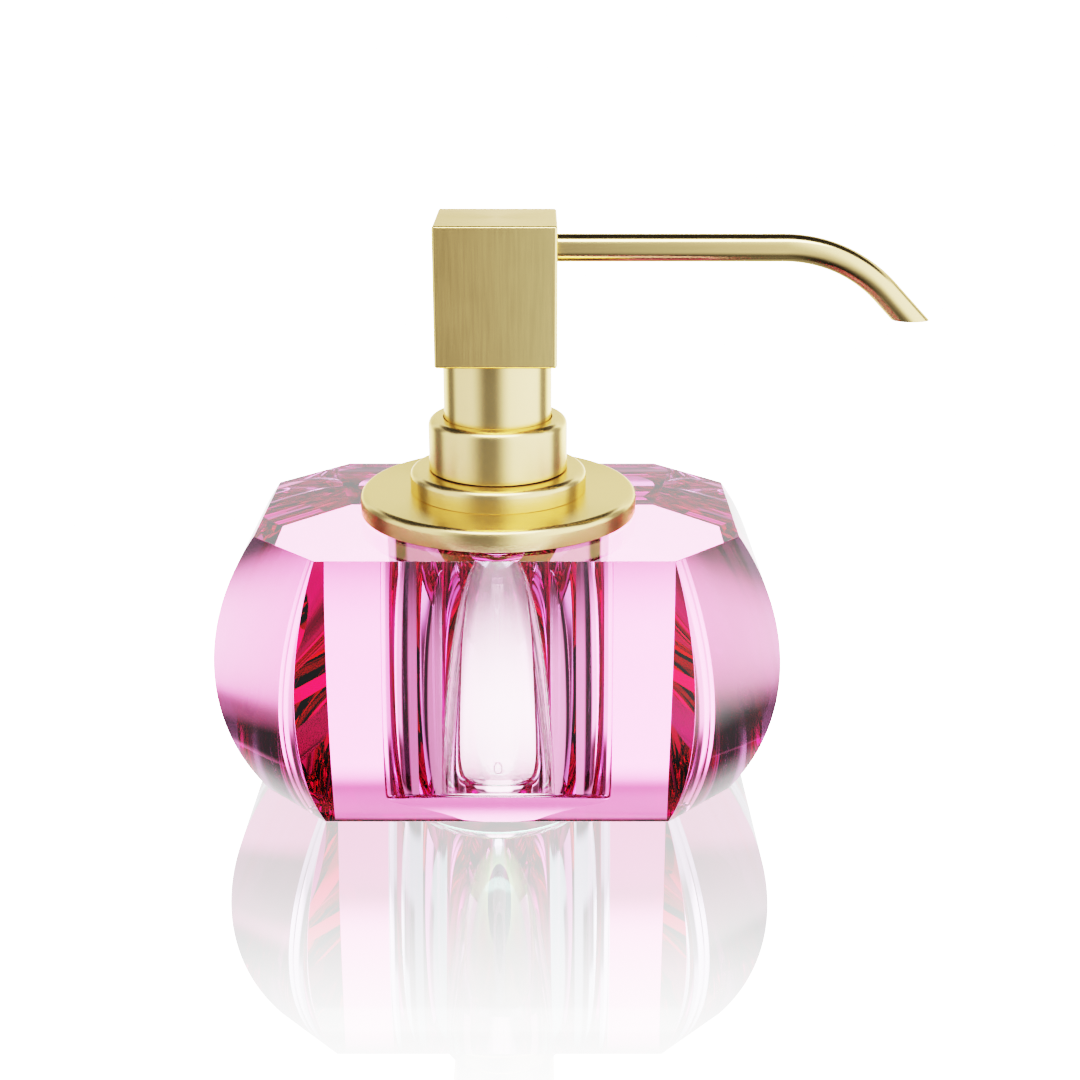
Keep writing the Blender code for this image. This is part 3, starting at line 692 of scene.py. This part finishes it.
def swept_tube(name, outer, inner, start, tip, finish):
    """A hollow tube along the spout's line whose end is cut level at the tip's height."""
    frames = spout_frames(start)
    build = bmesh.new()

    def ring(centre, angle, radius, cut_level=None):
        across = Vector((0, 1, 0))
        up = Vector((math.sin(angle), 0, math.cos(angle)))
        along = Vector((math.cos(angle), 0, -math.sin(angle)))
        made = []
        for i in range(TUBE_SEGMENTS):
            turn = 2 * math.pi * i / TUBE_SEGMENTS
            point = centre + (across * math.cos(turn) + up * math.sin(turn)) * radius
            if cut_level is not None:
                point = point + along * ((point.z - cut_level) / math.sin(angle))
            made.append(build.verts.new(point))
        return made

    last_centre, last_angle = frames[-1]
    outside = [ring(centre, angle, outer) for centre, angle in frames]
    outside.append(ring(last_centre, last_angle, outer, tip + LIP_ROUND))
    outside.append(ring(last_centre, last_angle, outer - LIP_ROUND, tip))
    inside = [ring(centre, angle, inner) for centre, angle in frames]
    inside.append(ring(last_centre, last_angle, inner, tip + LIP_ROUND))
    inside.append(ring(last_centre, last_angle, inner + LIP_ROUND, tip))
    join_rings(build, outside + list(reversed(inside)), closed=True)
    bmesh.ops.recalc_face_normals(build, faces=build.faces)
    return new_object(name, build, finish)


def make_spout():
    """The long metal tube."""
    low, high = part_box("spout_tube")
    outer = (high.y - low.y) / 2
    spout = swept_tube("spout", outer, outer - SPOUT_WALL, low.x, low.z, SPOUT_BRASS)
    place(spout, "head", "brass", "spout_tube")


# ---------------------------------------------------------------- inner parts


SPRING_WIRE = 0.35 * MM
SPRING_TURNS = 6
SPRING_STEPS = 48
SPRING_GAP = 0.8 * MM
SPRING_END = 0.75
LINER_WALL = 0.5 * MM


def wire(name, points, radius, finish, sides=16):
    """A closed round wire through points."""
    build = bmesh.new()
    rings = []
    for i, point in enumerate(points):
        along = (points[min(i + 1, len(points) - 1)] - points[max(i - 1, 0)]).normalized()
        out = Vector((point.x, point.y, 0)).normalized()
        up = along.cross(out)
        ring = []
        for k in range(sides):
            turn = 2 * math.pi * k / sides
            ring.append(build.verts.new(point + (out * math.cos(turn) + up * math.sin(turn)) * radius))
        rings.append(ring)
    join_rings(build, rings, closed=False)
    build.faces.new(rings[0])
    build.faces.new(list(reversed(rings[-1])))
    bmesh.ops.recalc_face_normals(build, faces=build.faces)
    return new_object(name, build, finish)


def make_spring():
    """Compression spring with flat end turns."""
    low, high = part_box("return_spring")
    radius = high.x - SPRING_WIRE
    bottom, top = low.z + SPRING_WIRE, high.z - SPRING_WIRE
    points = []
    for i in range(SPRING_TURNS * SPRING_STEPS + 1):
        turn = i / SPRING_STEPS
        share = min(1.0, max(0.0, (turn - SPRING_END) / (SPRING_TURNS - 2 * SPRING_END)))
        height = bottom + SPRING_GAP + (top - bottom - 2 * SPRING_GAP) * share
        height -= SPRING_GAP * max(0.0, 1.0 - turn / SPRING_END)
        height += SPRING_GAP * max(0.0, 1.0 - (SPRING_TURNS - turn) / SPRING_END)
        angle = 2 * math.pi * turn
        points.append(Vector((radius * math.cos(angle), radius * math.sin(angle), height)))
    spring = wire("spring", points, SPRING_WIRE, STEEL)
    place(spring, "pump_unit", "steel", "return_spring")
    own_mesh(spring)


def make_liner():
    """The soft tube inside the spout."""
    low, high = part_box("spout_liner")
    outer = (high.y - low.y) / 2
    liner = swept_tube("soft_liner", outer, outer - LINER_WALL, low.x, low.z, LINER)
    place(liner, "head", "clear_plastic", "spout_liner")


def finish_inner_parts():
    """CAD nodes whose shape stays get their finish."""
    carried = {
        STEEL: ("retaining_ring", "inlet_ball", "outlet_ball"),
        WHITE_PLASTIC: ("pump_housing", "stem_guide", "spring_seat", "piston", "head_insert", "stem"),
        BLACK_PLASTIC: ("collar_core",),
        CLEAR_PLASTIC: ("flange_gasket", "dip_tube"),
        RUBBER: ("closure_gasket", "stem_seal", "spout_seal"),
    }
    for finish, nodes in carried.items():
        for node in nodes:
            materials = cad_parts[node].data.materials
            materials.clear()
            materials.append(finish)


# ---------------------------------------------------------------- studio


CAMERA_PLACE = (0.00913, -0.3453, 0.17407)
CAMERA_PITCH = math.radians(70.46)
CAMERA_LENS = 55.07
SENSOR_WIDTH = 36.0
WHITE = 8.0


def make_camera():
    """The photograph's viewpoint."""
    camera = bpy.data.objects.new("camera", bpy.data.cameras.new("camera"))
    camera.location = CAMERA_PLACE
    camera.rotation_euler = (CAMERA_PITCH, 0.0, 0.0)
    camera.data.lens = CAMERA_LENS
    camera.data.sensor_width = SENSOR_WIDTH
    camera.data.clip_start = 10 * MM
    bpy.context.scene.collection.objects.link(camera)
    bpy.context.scene.camera = camera


# The studio as the object sees it, without the table: azimuth from the camera's side, positive to +X.
# Each zone: azimuth from, to, elevation from, to, softness, all in degrees, then its brightness.
SIDES = 1.2
FRONT_ZONES = ((-40, 12, -95, 60, 18, 0.22),)
METAL_ZONES = (
    (102, 128, -95, 30, 7, 0.25),
    (138, 200, -95, -2, 6, 2.0),
    (138, 200, 4, 28, 6, 0.85),
)
CRYSTAL_ZONES = (
    (106, 128, -95, 30, 4, 0.01),
    (130, 152, -95, 2, 4, 3.0),
    (128, 150, 5, 30, 4, 0.15),
    (153, 200, -95, 20, 7, 6.0),
    (153, 200, 26, 60, 6, 1.8),
)
LOW_FALL = (-60, -23)
LOW_LEVEL = 0.12
LEAN = 0.25
# The ceiling is dark above and behind; a softbox hangs just in front of the zenith.
CEILING = 0.03
CEILING_START = 28.0
CEILING_BLEND = 8.0
CEILING_RAISED = 22.0
CEILING_FRONT = (-0.12, -0.04)
SOFTBOX = 5.0
SOFTBOX_START = (56, 62)
SOFTBOX_DEPTH = (-0.47, -0.16, 0.04)
# Brightness of red, green and blue for rays reflected inside the crystal at least twice.
INNER_SHIFT = (0.7, 3.0, 1.75)


def add_zones(tree, level, angle, elevation, zones):
    """Blends each zone's brightness into a level."""
    for az_low, az_high, el_low, el_high, soft, bright in zones:
        around = window(tree, angle, az_low, az_high, soft)
        share = maths(tree, "MULTIPLY", around, window(tree, elevation, el_low, el_high, soft))
        level = maths(tree, "MULTIPLY_ADD", share, maths(tree, "SUBTRACT", bright, level), level)
    return level


def blend(tree, share, first, second):
    """A value that goes from first to second as the share goes from 0 to 1."""
    return maths(tree, "MULTIPLY_ADD", share, maths(tree, "SUBTRACT", second, first), first)


def inner_tint(tree, path):
    """White, or the inner shift for rays that leave the crystal after two reflections or more."""
    again = maths(tree, "SUBTRACT", path.outputs["Glossy Depth"], 1.0)
    inside = maths(tree, "MINIMUM", maths(tree, "MAXIMUM", again, 0.0), 1.0)
    inside = maths(tree, "MULTIPLY", inside, path.outputs["Is Transmission Ray"])
    return mix_colours(tree, inside, (1.0, 1.0, 1.0), INNER_SHIFT)


def make_world():
    """Light that depends on direction; rays that leave the crystal see a brighter back than metal."""
    world = bpy.data.worlds.new("studio")
    bpy.context.scene.world = world
    world.use_nodes = True
    tree = world.node_tree
    background = tree.nodes["Background"]
    path = tree.nodes.new("ShaderNodeLightPath")
    through = path.outputs["Is Transmission Ray"]
    x, y, z = split(tree, tree.nodes.new("ShaderNodeTexCoord").outputs["Generated"])
    azimuth = maths(tree, "DEGREES", maths(tree, "ARCTAN2", x, maths(tree, "MULTIPLY", y, -1.0)))
    either = maths(tree, "ABSOLUTE", azimuth)
    elevation = maths(tree, "DEGREES", maths(tree, "ARCSINE", z))
    front = add_zones(tree, SIDES, azimuth, elevation, FRONT_ZONES)
    metal = add_zones(tree, front, either, elevation, METAL_ZONES)
    crystal_view = add_zones(tree, front, either, elevation, CRYSTAL_ZONES)
    level = blend(tree, through, metal, crystal_view)
    level = maths(tree, "MULTIPLY", level, smooth_step(tree, elevation, *LOW_FALL, LOW_LEVEL, 1.0))
    level = maths(tree, "MULTIPLY", level, maths(tree, "MULTIPLY_ADD", x, LEAN, 1.0))
    start = maths(tree, "MULTIPLY_ADD", through, CEILING_RAISED, CEILING_START)
    above = smooth_step(tree, elevation, start, maths(tree, "ADD", start, CEILING_BLEND))
    ceiling = maths(tree, "MULTIPLY", above, smooth_step(tree, y, *CEILING_FRONT))
    level = blend(tree, ceiling, level, CEILING)
    above = smooth_step(tree, elevation, *SOFTBOX_START)
    softbox = maths(tree, "MULTIPLY", above, window(tree, y, *SOFTBOX_DEPTH))
    level = blend(tree, softbox, level, SOFTBOX)
    level = blend(tree, path.outputs["Is Camera Ray"], level, WHITE)
    tree.links.new(level, background.inputs["Strength"])
    tree.links.new(inner_tint(tree, path), background.inputs["Color"])


TABLE_HALF_WIDTH = 3.0
TABLE_CELLS = 8
TABLE_DROP = 0.02 * MM
MIRROR_SHARE = 0.945
MIRROR_REACH = 120 * MM
MIRROR_POWER = 3.0
PANEL_SIZE = 3.2
PANEL_REACH = 1.5
PANEL_HEIGHT = 0.8
PANEL_POWER = 4.0


def table_finish():
    """A white glow for the camera, mixed near the bottle with a mirror; clear to all other rays."""
    made = bpy.data.materials.new("table_gloss")
    made.use_nodes = True
    tree = made.node_tree
    tree.nodes.remove(tree.nodes["Principled BSDF"])
    x, y, z = split(tree, tree.nodes.new("ShaderNodeTexCoord").outputs["Object"])
    front, side = glass_shape()[:2]
    reaches = []
    for part, half in ((x, side.x), (y, front.y)):
        outside = maths(tree, "SUBTRACT", maths(tree, "ABSOLUTE", part), half)
        reaches.append(maths(tree, "MAXIMUM", outside, 0.0))
    away = maths(tree, "DIVIDE", length(tree, *reaches), MIRROR_REACH)
    fade = maths(tree, "POWER", away, MIRROR_POWER)
    share = maths(tree, "MAXIMUM", maths(tree, "SUBTRACT", MIRROR_SHARE, fade), 0.0)
    glow = tree.nodes.new("ShaderNodeEmission")
    glow.inputs["Strength"].default_value = WHITE
    gloss = tree.nodes.new("ShaderNodeBsdfGlossy")
    gloss.inputs["Roughness"].default_value = 0.0
    gloss.inputs["Color"].default_value = (1, 1, 1, 1)
    mix = tree.nodes.new("ShaderNodeMixShader")
    tree.links.new(share, mix.inputs[0])
    tree.links.new(glow.outputs[0], mix.inputs[1])
    tree.links.new(gloss.outputs[0], mix.inputs[2])
    clear = tree.nodes.new("ShaderNodeBsdfTransparent")
    seen = tree.nodes.new("ShaderNodeLightPath").outputs["Is Camera Ray"]
    pick = tree.nodes.new("ShaderNodeMixShader")
    tree.links.new(seen, pick.inputs[0])
    tree.links.new(clear.outputs[0], pick.inputs[1])
    tree.links.new(mix.outputs[0], pick.inputs[2])
    tree.links.new(pick.outputs[0], tree.nodes["Material Output"].inputs["Surface"])
    return made


def make_panel(name, side, receivers):
    """A large light on one side of the table, which lights only the table."""
    light = bpy.data.lights.new(name, "AREA")
    light.shape = "SQUARE"
    light.size = PANEL_SIZE
    light.energy = WHITE * PANEL_POWER * PANEL_SIZE**2
    panel = bpy.data.objects.new(name, light)
    panel.location = Vector((0, 0, PANEL_HEIGHT)) + Vector(side) * PANEL_REACH
    panel.rotation_euler = Vector(side).to_track_quat("Z", "Y").to_euler()
    panel.visible_camera = False
    bpy.context.scene.collection.objects.link(panel)
    panel.light_linking.receiver_collection = receivers


def make_floor():
    """A glossy white table and its own lights."""
    build = bmesh.new()
    bmesh.ops.create_grid(build, x_segments=TABLE_CELLS, y_segments=TABLE_CELLS, size=TABLE_HALF_WIDTH)
    mesh = bpy.data.meshes.new("table")
    build.to_mesh(mesh)
    build.free()
    mesh.materials.append(table_finish())
    floor = bpy.data.objects.new("table", mesh)
    floor.location = (0, 0, -TABLE_DROP)
    bpy.context.scene.collection.objects.link(floor)
    only_floor = bpy.data.collections.new("floor_only")
    only_floor.objects.link(floor)
    for i, side in enumerate(((0, 1, 0), (0, -1, 0), (1, 0, 0), (-1, 0, 0), (0, 0, 1))):
        make_panel(f"panel_{i}", side, only_floor)


TONE_WHITE = 7.3
TONE_STOPS = (0.02, 0.05, 0.1, 0.2, 0.35, 0.6, 1.0, 1.6, 2.5, 4.0, 5.5)


def tone(x):
    """A filmic response: soft toe and shoulder."""
    return x * (2.51 * x + 0.03) / (x * (2.43 * x + 0.59) + 0.14)


def make_grade():
    """Standard view with a filmic curve, and enough bounces for the crystal."""
    scene = bpy.context.scene
    scene.view_settings.view_transform = "Standard"
    scene.view_settings.use_curve_mapping = True
    mapping = scene.view_settings.curve_mapping
    mapping.white_level = (TONE_WHITE,) * 3
    curve = mapping.curves[3]
    for stop in TONE_STOPS:
        curve.points.new(stop / TONE_WHITE, tone(stop))
    mapping.update()
    scene.cycles.max_bounces = 32
    scene.cycles.transmission_bounces = 32
    scene.cycles.glossy_bounces = 12
    scene.cycles.transparent_max_bounces = 16


make_glass()
make_flange()
make_ring()
make_collar()
make_sleeve()
make_head()
make_spout()
make_spring()
make_liner()
finish_inner_parts()
make_camera()
make_world()
make_floor()
make_grade()
